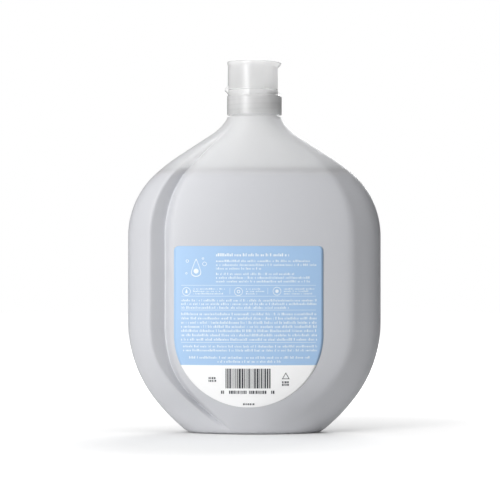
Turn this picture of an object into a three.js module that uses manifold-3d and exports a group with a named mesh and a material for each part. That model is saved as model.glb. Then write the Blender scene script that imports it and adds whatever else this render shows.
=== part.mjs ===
// Hand soap refill bottle: a flat round-shouldered blow-moulded bottle with a
// flip-top screw closure and a label. Millimetres, +Z up, standing on Z = 0.
// The label faces -Y and the closure's hinge is on the -X side.
// The body has no mirror plane: its back is its front turned half round about Z.
// Each broad face rolls softly over its right-hand side, and that roll ends at a
// ridge with a groove beside it, along the left edge of the other face.

import * as THREE from 'three';
import Module from 'manifold-3d';
import { mergeVertices } from 'three/addons/utils/BufferGeometryUtils.js';

const wasm = await Module();
wasm.setup();

// Body outline seen from the front, from the base up. A slope is the outline's
// angle from level where one arc hands over to the next
const bodyWidth = 163.1;
const baseWidth = 85.4;
const baseArcRadius = 120;
const lowerSlope = 52.2;
const lowerRadius = 80.3;
const sideHeight = 55.2;
const upperRadius = 54.6;
const upperSlope = 41.5;
const shoulderRadius = 130;
const shoulderSlope = 33;
const neckFilletRadius = 31.8;
const neckFilletSlope = 59.1;
const neckRootDiameter = 35;

// Body depth, front to back
const bodyDepth = 55.6;
const baseDepth = 44;
const baseTaperHeight = 45;

// Ridge, groove and soft edge of a broad face, at the widest height
const ridgeInset = 14.6;
const grooveSpan = 9.8;
const grooveRoll = 5;
const softEdgeInset = 19.4;
const ridgeDrop = 8.4;
const grooveDrop = 13.4;
const softEdgeDrop = 7.6;
const softEdgeRound = 4;
const softEdgeRoll = 3.1;
const flankLean = 0.73;

// Below sweepHeight these lines sweep in towards the middle, by a share of the
// half width and with a power that sets how late they turn in
const sweepHeight = 60;
const ridgeSweep = { share: 0.42, power: 2.2 };
const grooveSweep = { share: 0.42, power: 3 };
const softEdgeSweep = { share: 0.4, power: 2.2 };

// The lines fade out below fadeBelow and above fadeAbove
const fadeBelow = 20;
const fadeAbove = 162;

// How far each curve of the face keeps the direction of its ends, in shares of
// its own span, or of the half depth for the side
const sideHandle = 0.28;
const crestHandle = { along: 0.45, drop: 0.15 };
const fallHandles = { from: { along: 0.35, down: 0.3 }, to: { along: 0.75, down: 0.52 } };
const riseHandles = { from: 0.22, to: 0.4, lift: 0.02 };
const flankHandle = 0.3;

// Walls and base
const wall = 0.9;
const heelRadius = 3;
const standBand = 5;
const pushUp = 2.4;
const pushUpSlope = 7;

// Neck finish
const ledgeHeight = 0.9;
const neckDiameter = 28.8;
const boreDiameter = 24.8;
const neckHeight = 15.3;
const neckLead = 0.7;

// Closure, the moulding that screws on
const skirtGap = 1.2;
const skirtDiameter = 35.2;
const skirtWall = 1.4;
const skirtHeight = 12;
const collarStep = 0.5;
const deckThickness = 1.6;
const sealDepth = 3;
const sealWall = 0.8;
const spoutHeight = 6.1;
const spoutBase = 11.2;
const spoutTop = 9;
const orificeDiameter = 6.4;

// Lid, its plug and the flat that a thumb lifts it by
const lidHeight = 18.2;
const lidWall = 1.2;
const lidDraft = 0.3;
const lidEdge = 0.8;
const plugDiameter = 5.5;
const plugWall = 1;
const plugDepth = 1.2;
const thumbInset = 2.1;
const thumbBend = 0.6;
const lipHeight = 1.9;

// Hinge between closure and lid
const hingeLength = 13;
const hingeReach = 1.8;
const hingeSlope = 2.3;

// Soap and label
const fillHeight = 170.6;
const labelTop = 120;
const labelBottom = 17.5;
const labelBend = 63.5;
const labelCorner = 3;
const labelThickness = 0.2;

// Room between the label and the lines on each side of it, at the widest height
const labelGrooveMargin = 1;
const labelEdgeMargin = 14.4;

// Clearance between pieces that touch
const clearance = 0.3;

// Fineness of the meshes
const closureSides = 48;
const centreTolerance = 1e-6;

const degree = Math.PI / 180;
const halfWidthMax = bodyWidth / 2;
const halfDepthMax = bodyDepth / 2;
const rootRadius = neckRootDiameter / 2;

const clamp01 = (value) => Math.min(Math.max(value, 0), 1);
const mix = (from, to, share) => from + (to - from) * share;
const ease = (value) => clamp01(value) ** 2 * (3 - 2 * clamp01(value));
const point2 = (x, y) => new THREE.Vector2(x, y);
const point3 = (x, y, z) => new THREE.Vector3(x, y, z);

// An arc of the outline that starts at a point. Its turns are the outward
// normal's angles above level, and a hollow arc has a negative radius
function arcFrom(start, radius, fromTurn, toTurn) {
  const spoke = (turn) => point2(radius * Math.cos(turn), radius * Math.sin(turn));
  const centre = start.clone().sub(spoke(fromTurn));
  return { start, centre, radius, fromTurn, toTurn, end: centre.clone().add(spoke(toTurn)) };
}

// Outline of the body: base arc, lower arc, upright side, upper arc, shoulder
// arc, straight shoulder and a hollow fillet that runs into the neck
const lowerTurn = (90 - lowerSlope) * degree;
const upperTurn = (90 - upperSlope) * degree;
const shoulderTurn = (90 - shoulderSlope) * degree;
const filletTurn = (90 - neckFilletSlope) * degree;
const lowerReach = halfWidthMax - lowerRadius * (1 - Math.cos(lowerTurn));
const baseTurn = Math.acos(Math.cos(lowerTurn) - (lowerReach - baseWidth / 2) / baseArcRadius);
const baseArc = arcFrom(point2(baseWidth / 2, 0), baseArcRadius, -baseTurn, -lowerTurn);
const lowerArc = arcFrom(baseArc.end, lowerRadius, -lowerTurn, 0);
const sideTop = lowerArc.end.y + sideHeight;
const upperArc = arcFrom(point2(halfWidthMax, sideTop), upperRadius, 0, upperTurn);
const shoulderArc = arcFrom(upperArc.end, shoulderRadius, upperTurn, shoulderTurn);
const slopeFall = Math.tan(shoulderSlope * degree);
const filletRun = neckFilletRadius * (Math.cos(filletTurn) - Math.cos(shoulderTurn));
const filletStartX = rootRadius + filletRun;
const filletStart = point2(
  filletStartX,
  shoulderArc.end.y + (shoulderArc.end.x - filletStartX) * slopeFall,
);
const filletArc = arcFrom(filletStart, -neckFilletRadius, shoulderTurn, filletTurn);
const rootHeight = filletArc.end.y;

// Heights of everything above the body, each from the one below it
const ledgeTop = rootHeight + ledgeHeight;
const neckTop = ledgeTop + neckHeight;
const skirtBottom = ledgeTop + skirtGap;
const skirtTop = skirtBottom + skirtHeight;
const deckBottom = neckTop + clearance;
const deckTop = deckBottom + deckThickness;
const lidBottom = deckTop + clearance;
const lidTop = lidBottom + lidHeight;

// Half width of the body at a height
function halfWidth(height) {
  const level = Math.min(height, rootHeight);
  const arcs = [baseArc, lowerArc, upperArc, shoulderArc, filletArc];
  const arc = arcs.find(({ start, end }) => level >= start.y && level <= end.y);
  if (arc) {
    const reach = Math.sqrt(arc.radius ** 2 - (level - arc.centre.y) ** 2);
    return arc.centre.x + Math.sign(arc.radius) * reach;
  }
  if (level < sideTop) {
    return halfWidthMax;
  }
  return shoulderArc.end.x - (level - shoulderArc.end.y) / slopeFall;
}

// Half depth of the body at a height
function halfDepth(height) {
  const lower = clamp01(1 - height / baseTaperHeight) ** 2.2;
  const upper = Math.cos(clamp01((height - sideTop) / (rootHeight - sideTop)) * Math.PI / 2);
  const full = mix(rootRadius, halfDepthMax, upper);
  return full - (bodyDepth - baseDepth) / 2 * lower;
}

// A line of the broad face keeps its share of the width, and sweeps in below
function faceLine(inset, height, sweep) {
  return 1 - inset / halfWidthMax - sweep.share * clamp01(1 - height / sweepHeight) ** sweep.power;
}

// One broad face at a height, from the left side to the right one, as curves in
// shares of half width and half depth
function faceCurves(height) {
  const ridge = point2(-faceLine(ridgeInset, height, ridgeSweep), 1 - ridgeDrop / halfDepthMax);
  const grooveX = -faceLine(ridgeInset + grooveSpan, height, grooveSweep);
  const groove = point2(grooveX, 1 - grooveDrop / halfDepthMax);
  const edgeX = faceLine(softEdgeInset, height, softEdgeSweep);
  const bow = softEdgeDrop / halfDepthMax / edgeX ** 2;
  const face = (x) => 1 - bow * x * x;
  const startX = groove.x + grooveRoll / halfWidthMax;
  const endX = edgeX - softEdgeRound / halfWidthMax;
  const start = point2(startX, face(startX));
  const end = point2(endX, face(endX));
  const edge = point2(edgeX, end.y - 2 * bow * endX * (edgeX - endX));
  const lean = flankLean * edge.y / (1 - edgeX);
  const flankX = edgeX + softEdgeRoll / halfWidthMax;
  const flank = point2(flankX, edge.y - lean * (flankX - edgeX));
  const flankRun = (1 - edgeX) * flankHandle;
  const rise = start.x - groove.x;
  const startSlope = -2 * bow * startX;
  const fallPoint = ({ along, down }) => point2(
    mix(ridge.x, groove.x, along),
    mix(ridge.y, groove.y, down),
  );
  return {
    leftFlank: new THREE.CubicBezierCurve(
      point2(-1, 0),
      point2(-1, sideHandle),
      point2(ridge.x - (1 + ridge.x) * crestHandle.along, ridge.y - crestHandle.drop),
      ridge,
    ),
    ridgeFall: new THREE.CubicBezierCurve(
      ridge,
      fallPoint(fallHandles.from),
      fallPoint(fallHandles.to),
      groove,
    ),
    grooveRise: new THREE.CubicBezierCurve(
      groove,
      point2(groove.x + rise * riseHandles.from, groove.y + riseHandles.lift),
      point2(
        groove.x + rise * riseHandles.to,
        start.y - startSlope * rise * (1 - riseHandles.to) - riseHandles.lift,
      ),
      start,
    ),
    panel: new THREE.QuadraticBezierCurve(
      start,
      point2((start.x + end.x) / 2, 1 - bow * start.x * end.x),
      end,
    ),
    softEdge: new THREE.QuadraticBezierCurve(end, edge, flank),
    rightFlank: new THREE.CubicBezierCurve(
      flank,
      point2(flank.x + flankRun, flank.y - lean * flankRun),
      point2(1, sideHandle),
      point2(1, 0),
    ),
  };
}

// Points along each curve of a face, and how strongly the lines show at a height
const facePoints = { leftFlank: 6, ridgeFall: 3, grooveRise: 3, panel: 8, softEdge: 2, rightFlank: 6 };

function fade(height) {
  const below = 1 - ease(height / fadeBelow);
  const above = ease((height - fadeAbove) / (rootHeight - fadeAbove));
  return Math.max(below, above);
}

// One face at a height as points in shares, from the left side up to, but not
// with, the right one
function faceShares(height) {
  const curves = faceCurves(height);
  const plain = fade(height);
  const shares = [];
  for (const [name, count] of Object.entries(facePoints)) {
    for (let step = 0; step < count; step += 1) {
      const place = curves[name].getPoint(step / count);
      const round = Math.sqrt(Math.max(1 - place.x * place.x, 0));
      shares.push(point2(place.x, mix(place.y, round, plain)));
    }
  }
  return shares;
}

// A closed ring round the body: the front face, then the same turned half round
function bodyRing(height, inset, lift) {
  const across = halfWidth(height) - inset;
  const through = halfDepth(height) - inset;
  const front = faceShares(height).map(({ x, y }) => point3(x * across, -y * through, height + lift));
  const back = front.map(({ x, y, z }) => point3(-x, -y, z));
  return [...front, ...back];
}

function circleRing(radius, height) {
  const around = faceShares(rootHeight).map(({ x, y }) => point3(x * radius, -y * radius, height));
  return [...around, ...around.map(({ x, y, z }) => point3(-x, -y, z))];
}

// Heights of the body's rings, evenly spaced round each arc and up each
// straight of the outline
function bodyHeights(steps) {
  const arcHeights = (arc, count) => Array.from({ length: count }, (_, step) => {
    const turn = mix(arc.fromTurn, arc.toTurn, step / count);
    return arc.centre.y + arc.radius * Math.sin(turn);
  });
  const straightHeights = (from, to, count) => Array.from(
    { length: count },
    (_, step) => mix(from, to, step / count),
  );
  return [
    ...arcHeights(baseArc, steps.base),
    ...arcHeights(lowerArc, steps.lower),
    ...straightHeights(lowerArc.end.y, sideTop, steps.side),
    ...arcHeights(upperArc, steps.upper),
    ...arcHeights(shoulderArc, steps.shoulder),
    ...straightHeights(shoulderArc.end.y, filletStart.y, steps.slope),
    ...arcHeights(filletArc, steps.fillet),
    rootHeight,
  ];
}

// The base from its raised middle out to the heel, as an inset from the outline
// and a height
const baseOutline = [
  [heelRadius + standBand + pushUpSlope, pushUp],
  [heelRadius + standBand + pushUpSlope / 2, pushUp / 2],
  [heelRadius + standBand, 0],
  [heelRadius, 0],
];
const heelCorner = heelRadius * (1 - Math.SQRT1_2);

// The outer and the inner skin's rings stand level with each other low down,
// where the groove sweeps in
const lowerSteps = { base: 4, lower: 8, side: 3 };
const outerHeights = bodyHeights({ ...lowerSteps, upper: 8, shoulder: 2, slope: 1, fillet: 3 });
const innerSteps = { ...lowerSteps, upper: 7, shoulder: 1, slope: 1, fillet: 2 };
const innerHeights = [...bodyHeights(innerSteps), fillHeight].sort((a, b) => a - b);

// The outer skin from the middle of the base up to the neck root
function outerSkin(heights) {
  const base = [...baseOutline, [heelCorner, heelCorner]];
  const walls = heights.filter((height) => height > heelRadius);
  return [
    ...base.map(([inset, lift]) => bodyRing(0, inset, lift)),
    ...walls.map((height) => bodyRing(height, 0, 0)),
  ];
}

// A ring of the body moved level inwards, so that the wall has one thickness
function insetRing(height, distance) {
  const ring = bodyRing(height, 0, 0);
  const above = bodyRing(height + heelRadius / 2, 0, 0);
  const below = bodyRing(height - heelRadius / 2, 0, 0);
  const count = ring.length;
  return ring.map((place, column) => {
    const along = ring[(column + 1) % count].clone().sub(ring[(column + count - 1) % count]);
    const outward = along.cross(above[column].clone().sub(below[column])).normalize();
    const level = point3(outward.x, outward.y, 0);
    return place.clone().addScaledVector(level, -distance / level.lengthSq());
  });
}

// The same skin inside the wall
function innerSkin(heights, distance) {
  const lowest = heelRadius + 2 * distance;
  const walls = heights.filter((height) => height > lowest && height < rootHeight - distance);
  return [
    ...baseOutline.map(([inset, lift]) => bodyRing(0, inset + distance, lift + distance)),
    ...walls.map((height) => insetRing(height, distance)),
  ];
}

// A closed mesh from stacked rings. The stack is closed at its ends by a fan to
// each ring's middle, or joins up with itself
function stackRings(rings, loop = false) {
  const sides = rings[0].length;
  const positions = rings.flat().flatMap(({ x, y, z }) => [x, y, z]);
  const faces = [];
  const spans = loop ? rings.length : rings.length - 1;
  for (let row = 0; row < spans; row += 1) {
    const next = (row + 1) % rings.length;
    for (let side = 0; side < sides; side += 1) {
      const beside = (side + 1) % sides;
      const a = row * sides + side;
      const b = row * sides + beside;
      const c = next * sides + beside;
      const d = next * sides + side;
      const rising = rings[next][side].z >= rings[row][side].z;
      faces.push(...(rising ? [a, b, c, a, c, d] : [a, b, d, b, c, d]));
    }
  }
  if (!loop) {
    const last = (rings.length - 1) * sides;
    const bottom = positions.length / 3;
    const top = bottom + 1;
    for (const ring of [rings[0], rings[rings.length - 1]]) {
      positions.push(0, 0, ring[0].z);
    }
    for (let side = 0; side < sides; side += 1) {
      const beside = (side + 1) % sides;
      faces.push(bottom, beside, side);
      faces.push(top, last + side, last + beside);
    }
  }
  const geometry = new THREE.BufferGeometry();
  geometry.setAttribute('position', new THREE.Float32BufferAttribute(positions, 3));
  geometry.setIndex(faces);
  return geometry;
}

// Bottle: outer skin, neck, bore and inner skin in one closed wall
function bottleGeometry() {
  const outer = outerSkin(outerHeights);
  const neckRadius = neckDiameter / 2;
  const boreRadius = boreDiameter / 2;
  const neck = [
    circleRing(rootRadius, ledgeTop - neckLead),
    circleRing(rootRadius - neckLead, ledgeTop),
    circleRing(neckRadius, ledgeTop),
    circleRing(neckRadius, neckTop - neckLead),
    circleRing(neckRadius - neckLead, neckTop),
    circleRing(boreRadius, neckTop),
    circleRing(boreRadius, rootHeight - wall),
  ];
  const inner = innerSkin(innerHeights, wall);
  return stackRings([...outer, ...neck, ...inner.reverse()]);
}

// Soap: fills the bottle up to a level just clear of the wall
function soapGeometry() {
  const heights = innerHeights.filter((height) => height < fillHeight);
  return stackRings(innerSkin([...heights, fillHeight], wall + clearance));
}

// The faceted flat under the lid's front edge, as the radius at each angle from
// +X: two bends on each side lead from the flat back to the round wall
function thumbRadius(angle, roundRadius) {
  const flat = roundRadius - thumbInset;
  const bends = [
    point2(flat, 0),
    point2(flat, flat * Math.tan(22.5 * degree)),
    point2(roundRadius - thumbBend, 0).rotateAround(point2(0, 0), 45 * degree),
    point2(roundRadius, 0).rotateAround(point2(0, 0), 67.5 * degree),
  ];
  const turn = Math.abs(Math.atan2(Math.sin(angle), Math.cos(angle)));
  for (let bend = 1; bend < bends.length; bend += 1) {
    const from = bends[bend - 1];
    const to = bends[bend];
    if (turn <= to.angle() + centreTolerance) {
      const direction = point2(Math.cos(turn), Math.sin(turn));
      const side = to.clone().sub(from);
      return from.cross(side) / direction.cross(side);
    }
  }
  return roundRadius;
}

// A ring of the closure. flatFrom is how far in from the radius the thumb flat
// may reach it, and inset how thick the wall is outside the ring
function closureRing(radius, height, flatFrom = 0, inset = 0) {
  return Array.from({ length: closureSides }, (_, side) => {
    const angle = side / closureSides * 2 * Math.PI;
    const flat = thumbRadius(angle, skirtDiameter / 2 - collarStep) - inset;
    const reach = Math.min(radius, Math.max(flat, radius - flatFrom));
    return point3(reach * Math.cos(angle), reach * Math.sin(angle), height);
  });
}

// A bar along the hinge, from its outline in X and Z
function hingeBar(outline) {
  const shape = new THREE.Shape(outline);
  const bar = new THREE.ExtrudeGeometry(shape, { depth: hingeLength, bevelEnabled: false });
  bar.rotateX(Math.PI / 2);
  bar.translate(0, hingeLength / 2, 0);
  return bar;
}

function toSolid(geometry) {
  const bare = geometry.clone();
  bare.deleteAttribute('normal');
  bare.deleteAttribute('uv');
  const merged = mergeVertices(bare);
  return new wasm.Manifold(new wasm.Mesh({
    numProp: 3,
    vertProperties: new Float32Array(merged.attributes.position.array),
    triVerts: new Uint32Array(merged.index.array),
  }));
}

function toGeometry(solid) {
  const mesh = solid.getMesh();
  const geometry = new THREE.BufferGeometry();
  geometry.setAttribute('position', new THREE.BufferAttribute(mesh.vertProperties, 3));
  geometry.setIndex(new THREE.BufferAttribute(mesh.triVerts, 1));
  return geometry;
}

// Closure: skirt, collar, deck, pouring spout and the ring that seals the bore
function closureGeometry() {
  const skirt = skirtDiameter / 2;
  const collar = skirt - collarStep;
  const inside = skirt - skirtWall;
  const seal = boreDiameter / 2 - clearance;
  const orifice = orificeDiameter / 2;
  const lead = skirtWall / 3;
  const spoutEnd = deckTop + spoutHeight;
  const ledge = skirtTop + collarStep;
  const flatBottom = ledge + thumbInset;
  const rings = [
    closureRing(skirt, skirtBottom),
    closureRing(skirt, skirtTop),
    closureRing(collar, ledge),
    closureRing(collar, flatBottom, thumbInset),
    closureRing(collar, deckTop, thumbInset),
    closureRing(spoutBase / 2, deckTop),
    closureRing(spoutTop / 2, spoutEnd - lead),
    closureRing(spoutTop / 2 - lead, spoutEnd),
    closureRing(orifice, spoutEnd),
    closureRing(orifice, deckBottom),
    closureRing(seal - sealWall, deckBottom),
    closureRing(seal - sealWall, deckBottom - sealDepth),
    closureRing(seal - sealWall / 2, deckBottom - sealDepth),
    closureRing(seal, deckBottom - sealDepth + sealWall),
    closureRing(seal, deckBottom),
    closureRing(inside, deckBottom),
    closureRing(inside, skirtBottom + lead),
    closureRing(inside + lead, skirtBottom),
  ];
  const hinge = hingeBar([
    point2(-collar + collarStep, deckTop),
    point2(-collar - hingeReach, deckTop),
    point2(-collar - hingeReach, deckTop - clearance),
    point2(-collar + collarStep, deckTop - clearance - hingeSlope),
  ]);
  return toGeometry(toSolid(stackRings(rings, true)).add(toSolid(hinge)));
}

// Lid: a deep cap with a thumb flat, and a plug that stops the spout
function lidGeometry() {
  const collar = skirtDiameter / 2 - collarStep;
  const rim = collar + lidDraft;
  const plug = plugDiameter / 2;
  const plugEnd = deckTop + spoutHeight - plugDepth;
  const plugTip = plugWall / 2;
  const lipBottom = lidTop - lipHeight;
  const flatTop = lipBottom - thumbInset - lidDraft;
  const underTop = lidTop - lidWall;
  const rings = [
    closureRing(plug - plugWall, underTop),
    closureRing(plug - plugWall, plugEnd),
    closureRing(plug - plugTip, plugEnd),
    closureRing(plug, plugEnd + plugWall),
    closureRing(plug, underTop),
    closureRing(rim - lidWall, underTop, thumbInset + lidDraft, lidWall),
    closureRing(collar - lidWall, lidBottom, thumbInset, lidWall),
    closureRing(collar, lidBottom, thumbInset),
    closureRing(rim, flatTop, thumbInset + lidDraft),
    closureRing(rim, lipBottom),
    closureRing(rim, lidTop - lidEdge),
    closureRing(rim - lidEdge * (1 - Math.SQRT1_2), lidTop - lidEdge * (1 - Math.SQRT1_2)),
    closureRing(rim - lidEdge, lidTop),
  ];
  const hinge = hingeBar([
    point2(-collar + collarStep, lidBottom),
    point2(-collar + collarStep, lidBottom + clearance + hingeSlope),
    point2(-collar - hingeReach, lidBottom + clearance),
    point2(-collar - hingeReach, lidBottom),
  ]);
  return toGeometry(toSolid(stackRings(rings)).add(toSolid(hinge)));
}

// How far forward the front face is at a place
function frontReach(x, height) {
  const across = halfWidth(height);
  const through = halfDepth(height);
  const shares = [...faceShares(height), point2(1, 0)];
  const after = shares.findIndex((share) => share.x * across > x);
  const from = shares[after - 1];
  const to = shares[after];
  return mix(from.y, to.y, (x / across - from.x) / (to.x - from.x)) * through;
}

// The label lies between the groove's roll and the soft edge
const labelLeft = ridgeInset + grooveSpan + grooveRoll + labelGrooveMargin - halfWidthMax;
const labelRight = halfWidthMax - softEdgeInset - softEdgeRound - labelEdgeMargin;
const labelMiddle = (labelLeft + labelRight) / 2;

// Rows of the label: half width at each height, round at the upper corners and
// drawn in to a half ellipse below
function labelRows() {
  const half = (labelRight - labelLeft) / 2;
  const rows = [];
  for (const turn of [0, 30, 60, 90]) {
    const drop = labelCorner * (1 - Math.cos(turn * degree));
    rows.push([half - labelCorner * (1 - Math.sin(turn * degree)), labelTop - drop]);
  }
  rows.push([half, mix(labelTop, labelBend, 0.5)]);
  for (let turn = 0; turn < 90; turn += 10) {
    const lean = turn * degree;
    rows.push([half * Math.cos(lean), labelBend - (labelBend - labelBottom) * Math.sin(lean)]);
  }
  rows.push([half * Math.cos(87 * degree), labelBottom]);
  return rows;
}

// Label: a film on the front face
function labelGeometry() {
  const columns = 12;
  const rings = labelRows().map(([half, height]) => {
    const back = [];
    const front = [];
    for (let column = 0; column <= columns; column += 1) {
      const x = labelMiddle + half * (2 * column / columns - 1);
      const y = -frontReach(x, height) - clearance;
      back.unshift(point3(x, y, height));
      front.push(point3(x, y - labelThickness, height));
    }
    return [...front, ...back];
  });
  return stackStrips(rings.reverse());
}

// A closed mesh from stacked flat rings, each end closed by a strip of quads
function stackStrips(rings) {
  const sides = rings[0].length;
  const positions = rings.flat().flatMap(({ x, y, z }) => [x, y, z]);
  const faces = [];
  for (let row = 0; row + 1 < rings.length; row += 1) {
    for (let side = 0; side < sides; side += 1) {
      const beside = (side + 1) % sides;
      const a = row * sides + side;
      const b = row * sides + beside;
      faces.push(a, b, b + sides, a, b + sides, a + sides);
    }
  }
  const last = (rings.length - 1) * sides;
  for (let side = 0; side + 1 < sides / 2; side += 1) {
    const across = sides - 1 - side;
    faces.push(side, across - 1, side + 1, side, across, across - 1);
    faces.push(last + side, last + side + 1, last + across - 1);
    faces.push(last + side, last + across - 1, last + across);
  }
  const geometry = new THREE.BufferGeometry();
  geometry.setAttribute('position', new THREE.Float32BufferAttribute(positions, 3));
  geometry.setIndex(faces);
  return geometry;
}

const materials = {
  bottlePlastic: new THREE.MeshStandardMaterial({ color: 0xd9dadc, roughness: 0.35, metalness: 0 }),
  soap: new THREE.MeshStandardMaterial({ color: 0xc9cbd1, roughness: 0.2, metalness: 0 }),
  closurePlastic: new THREE.MeshStandardMaterial({ color: 0xeeeeec, roughness: 0.3, metalness: 0 }),
  labelFilm: new THREE.MeshStandardMaterial({ color: 0xa9c8e8, roughness: 0.5, metalness: 0 }),
};

const pieces = [
  ['bottle', bottleGeometry(), materials.bottlePlastic],
  ['liquid_soap', soapGeometry(), materials.soap],
  ['closure_base', closureGeometry(), materials.closurePlastic],
  ['closure_lid', lidGeometry(), materials.closurePlastic],
  ['back_label', labelGeometry(), materials.labelFilm],
];

const group = new THREE.Group();
for (const [name, geometry, material] of pieces) {
  const mesh = new THREE.Mesh(geometry, material);
  mesh.name = name;
  group.add(mesh);
}

export default group;
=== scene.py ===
"""Hand soap refill bottle: blow-moulded bottle of soap, flip-top screw closure and printed label."""
import math

import bmesh
import bpy
import numpy as np
from mathutils import Matrix, Vector


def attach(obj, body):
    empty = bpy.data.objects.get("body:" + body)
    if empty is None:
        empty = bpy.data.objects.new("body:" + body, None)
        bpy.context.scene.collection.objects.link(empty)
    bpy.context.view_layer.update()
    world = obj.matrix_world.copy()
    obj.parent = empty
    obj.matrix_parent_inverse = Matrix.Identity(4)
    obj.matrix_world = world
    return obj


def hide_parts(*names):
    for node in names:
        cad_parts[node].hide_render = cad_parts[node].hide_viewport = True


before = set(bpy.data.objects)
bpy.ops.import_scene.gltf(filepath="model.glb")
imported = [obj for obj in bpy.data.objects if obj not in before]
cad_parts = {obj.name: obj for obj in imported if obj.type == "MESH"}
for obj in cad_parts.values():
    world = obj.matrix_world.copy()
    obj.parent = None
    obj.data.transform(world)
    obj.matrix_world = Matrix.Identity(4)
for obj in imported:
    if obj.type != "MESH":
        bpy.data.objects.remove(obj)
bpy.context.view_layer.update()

MM = 0.001

# Body outline seen from the front, as the solid has it: sizes in millimetres, and each
# turn is how far the outward normal stands above level where one arc ends
BODY_WIDTH = 163.1
BASE_WIDTH = 85.4
BASE_ARC_RADIUS = 120
LOWER_TURN = math.radians(90 - 52.2)
LOWER_RADIUS = 80.3
SIDE_HEIGHT = 55.2
UPPER_RADIUS = 54.6
UPPER_TURN = math.radians(90 - 41.5)
SHOULDER_RADIUS = 130
SHOULDER_TURN = math.radians(90 - 33)
NECK_FILLET_RADIUS = 31.8
NECK_FILLET_TURN = math.radians(90 - 59.1)
NECK_ROOT_RADIUS = 17.5

# Body depth, front to back
BODY_DEPTH = 55.6
BASE_DEPTH = 44
BASE_TAPER = 45
TAPER_POWER = 2.2

# Ridge, groove and soft edge of a broad face, and how they sweep in and fade out
RIDGE_INSET = 14.6
GROOVE_SPAN = 9.8
GROOVE_ROLL = 5
SOFT_EDGE_INSET = 19.4
RIDGE_DROP = 8.4
GROOVE_DROP = 13.4
SOFT_EDGE_DROP = 7.6
SOFT_EDGE_ROUND = 4
SOFT_EDGE_ROLL = 3.1
FLANK_LEAN = 0.73
SWEEP_HEIGHT = 60
RIDGE_SWEEP = (0.42, 2.2)
GROOVE_SWEEP = (0.42, 3)
SOFT_EDGE_SWEEP = (0.4, 2.2)
FADE_BELOW = 20
FADE_ABOVE = 162

# Where the curves of a broad face aim, in shares of what each of them crosses
SIDE_HANDLE = 0.28
CREST_HANDLE = (0.45, 0.15)
FALL_HANDLES = ((0.35, 0.3), (0.75, 0.52))
RISE_HANDLES = (0.22, 0.4)
RISE_LIFT = 0.02
FLANK_HANDLE = 0.3

# Walls, base and neck
WALL = 0.9
HEEL = 3
HEEL_ROLL = 3.4
STAND_BAND = 5
PUSH_UP = 2.4
PUSH_UP_SLOPE = 7
LEDGE = 0.9
LEDGE_ROUND = 0.5
NECK_RADIUS = 14.4
BORE_RADIUS = 12.4
NECK_HEIGHT = 15.3
LIP = 0.6

# Level of the soap, and how far below and above it the wall's tone changes
FILL_HEIGHT = 170.6
FILL_FADE = (6.5, 0.5)

# Points round one broad face: left flank, ridge, groove, panel, soft edge, right flank
FACE_POINTS = (24, 16, 16, 40, 12, 26)
# A blow moulding has no sharp corners, so each ring is rounded this many times
ROUNDING_PASSES = 5
# Rings round the raised base, and round the heel
BASE_STEPS = 8
HEEL_STEPS = 8

# Screw closure and its lid
SKIRT_GAP = 1.2
SKIRT_RADIUS = 17.6
SKIRT_WALL = 1.4
SKIRT_HEIGHT = 12
COLLAR_STEP = 0.5
DECK = 1.6
SEAL_DEPTH = 3
SEAL_WALL = 0.8
SPOUT_HEIGHT = 6.1
SPOUT_BASE_RADIUS = 5.6
SPOUT_TOP_RADIUS = 4.5
ORIFICE_RADIUS = 3.2
CLEARANCE = 0.3
LID_HEIGHT = 18.2
LID_WALL = 1.2
LID_DRAFT = 0.3
LID_EDGE = 0.8
PLUG_RADIUS = 2.75
PLUG_WALL = 1
PLUG_DEPTH = 1.2
THUMB_INSET = 2.1
THUMB_BEND = 0.6
THUMB_FACET = math.radians(45)
LIP_HEIGHT = 1.9
HINGE_LENGTH = 13
HINGE_REACH = 1.8
HINGE_SLOPE = 2.3
HINGE_BEVEL = 0.2
HINGE_FILM_RADIUS = 0.22
CLOSURE_SIDES = 192
CORNER_STEPS = 4
# A rounding takes up no more than this share of the edge beside it
CORNER_SHARE = 0.48
# Two faces that meet at more than this are shaded as an edge
SHARP_FROM = math.radians(40)

# Screw thread, by its pitch, turns, the radius of its bead and its height above the skirt's rim
THREAD_PITCH = 3.2
THREAD_TURNS = 2.2
THREAD_ROUND = 0.8
THREAD_LEAD = 2.2

# Parting seam of the blow mould, and the refraction of both plastics
SEAM_WIDTH = 0.15
SEAM_HEIGHT = 0.07
WALL_IOR = 1.5

# Label, by its edges and the height where it starts to draw in
LABEL_LEFT = -51.15
LABEL_RIGHT = 43.75
LABEL_TOP = 120
LABEL_BOTTOM = 17.5
LABEL_BEND = 63.5
LABEL_CORNER = 3
LABEL_LIFT = 0.12
LABEL_FILM = 0.1
INK_LIFT = 0.03
BLUE_BOTTOM = 44.4
# Cells across the label, then rows round its corner, down its side and round its foot
LABEL_COLUMNS = 48
CORNER_ROWS = 8
SIDE_ROWS = 28
FOOT_ROWS = 44
# The foot's curve stops short of a right angle, so that its last row keeps some width
FOOT_TURN = 88
# Height between the levels at which the bottle's front is measured for the label
LEVEL_STEP = 0.8

# The photograph's frame: millimetres in a pixel, from the bottle's height in both, then the
# frame's width, the bottle's axis and the floor line in pixels, and the lens
PIXEL = 240 / 372
FRAME_PIXELS = 500
AXIS_PIXEL = 254.4
FLOOR_PIXEL = 432.1
LENS = 180
SENSOR = 36
CAMERA_DISTANCE = FRAME_PIXELS * PIXEL * LENS / SENSOR

HALF_WIDTH = BODY_WIDTH / 2
HALF_DEPTH = BODY_DEPTH / 2


def arc_from(start, radius, from_turn, to_turn):
    """An arc of the outline; a hollow one has a negative radius."""
    centre = (start[0] - radius * math.cos(from_turn), start[1] - radius * math.sin(from_turn))
    end = (centre[0] + radius * math.cos(to_turn), centre[1] + radius * math.sin(to_turn))
    turns = (from_turn, to_turn)
    return {"start": start, "centre": centre, "radius": radius, "turns": turns, "end": end}


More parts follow.
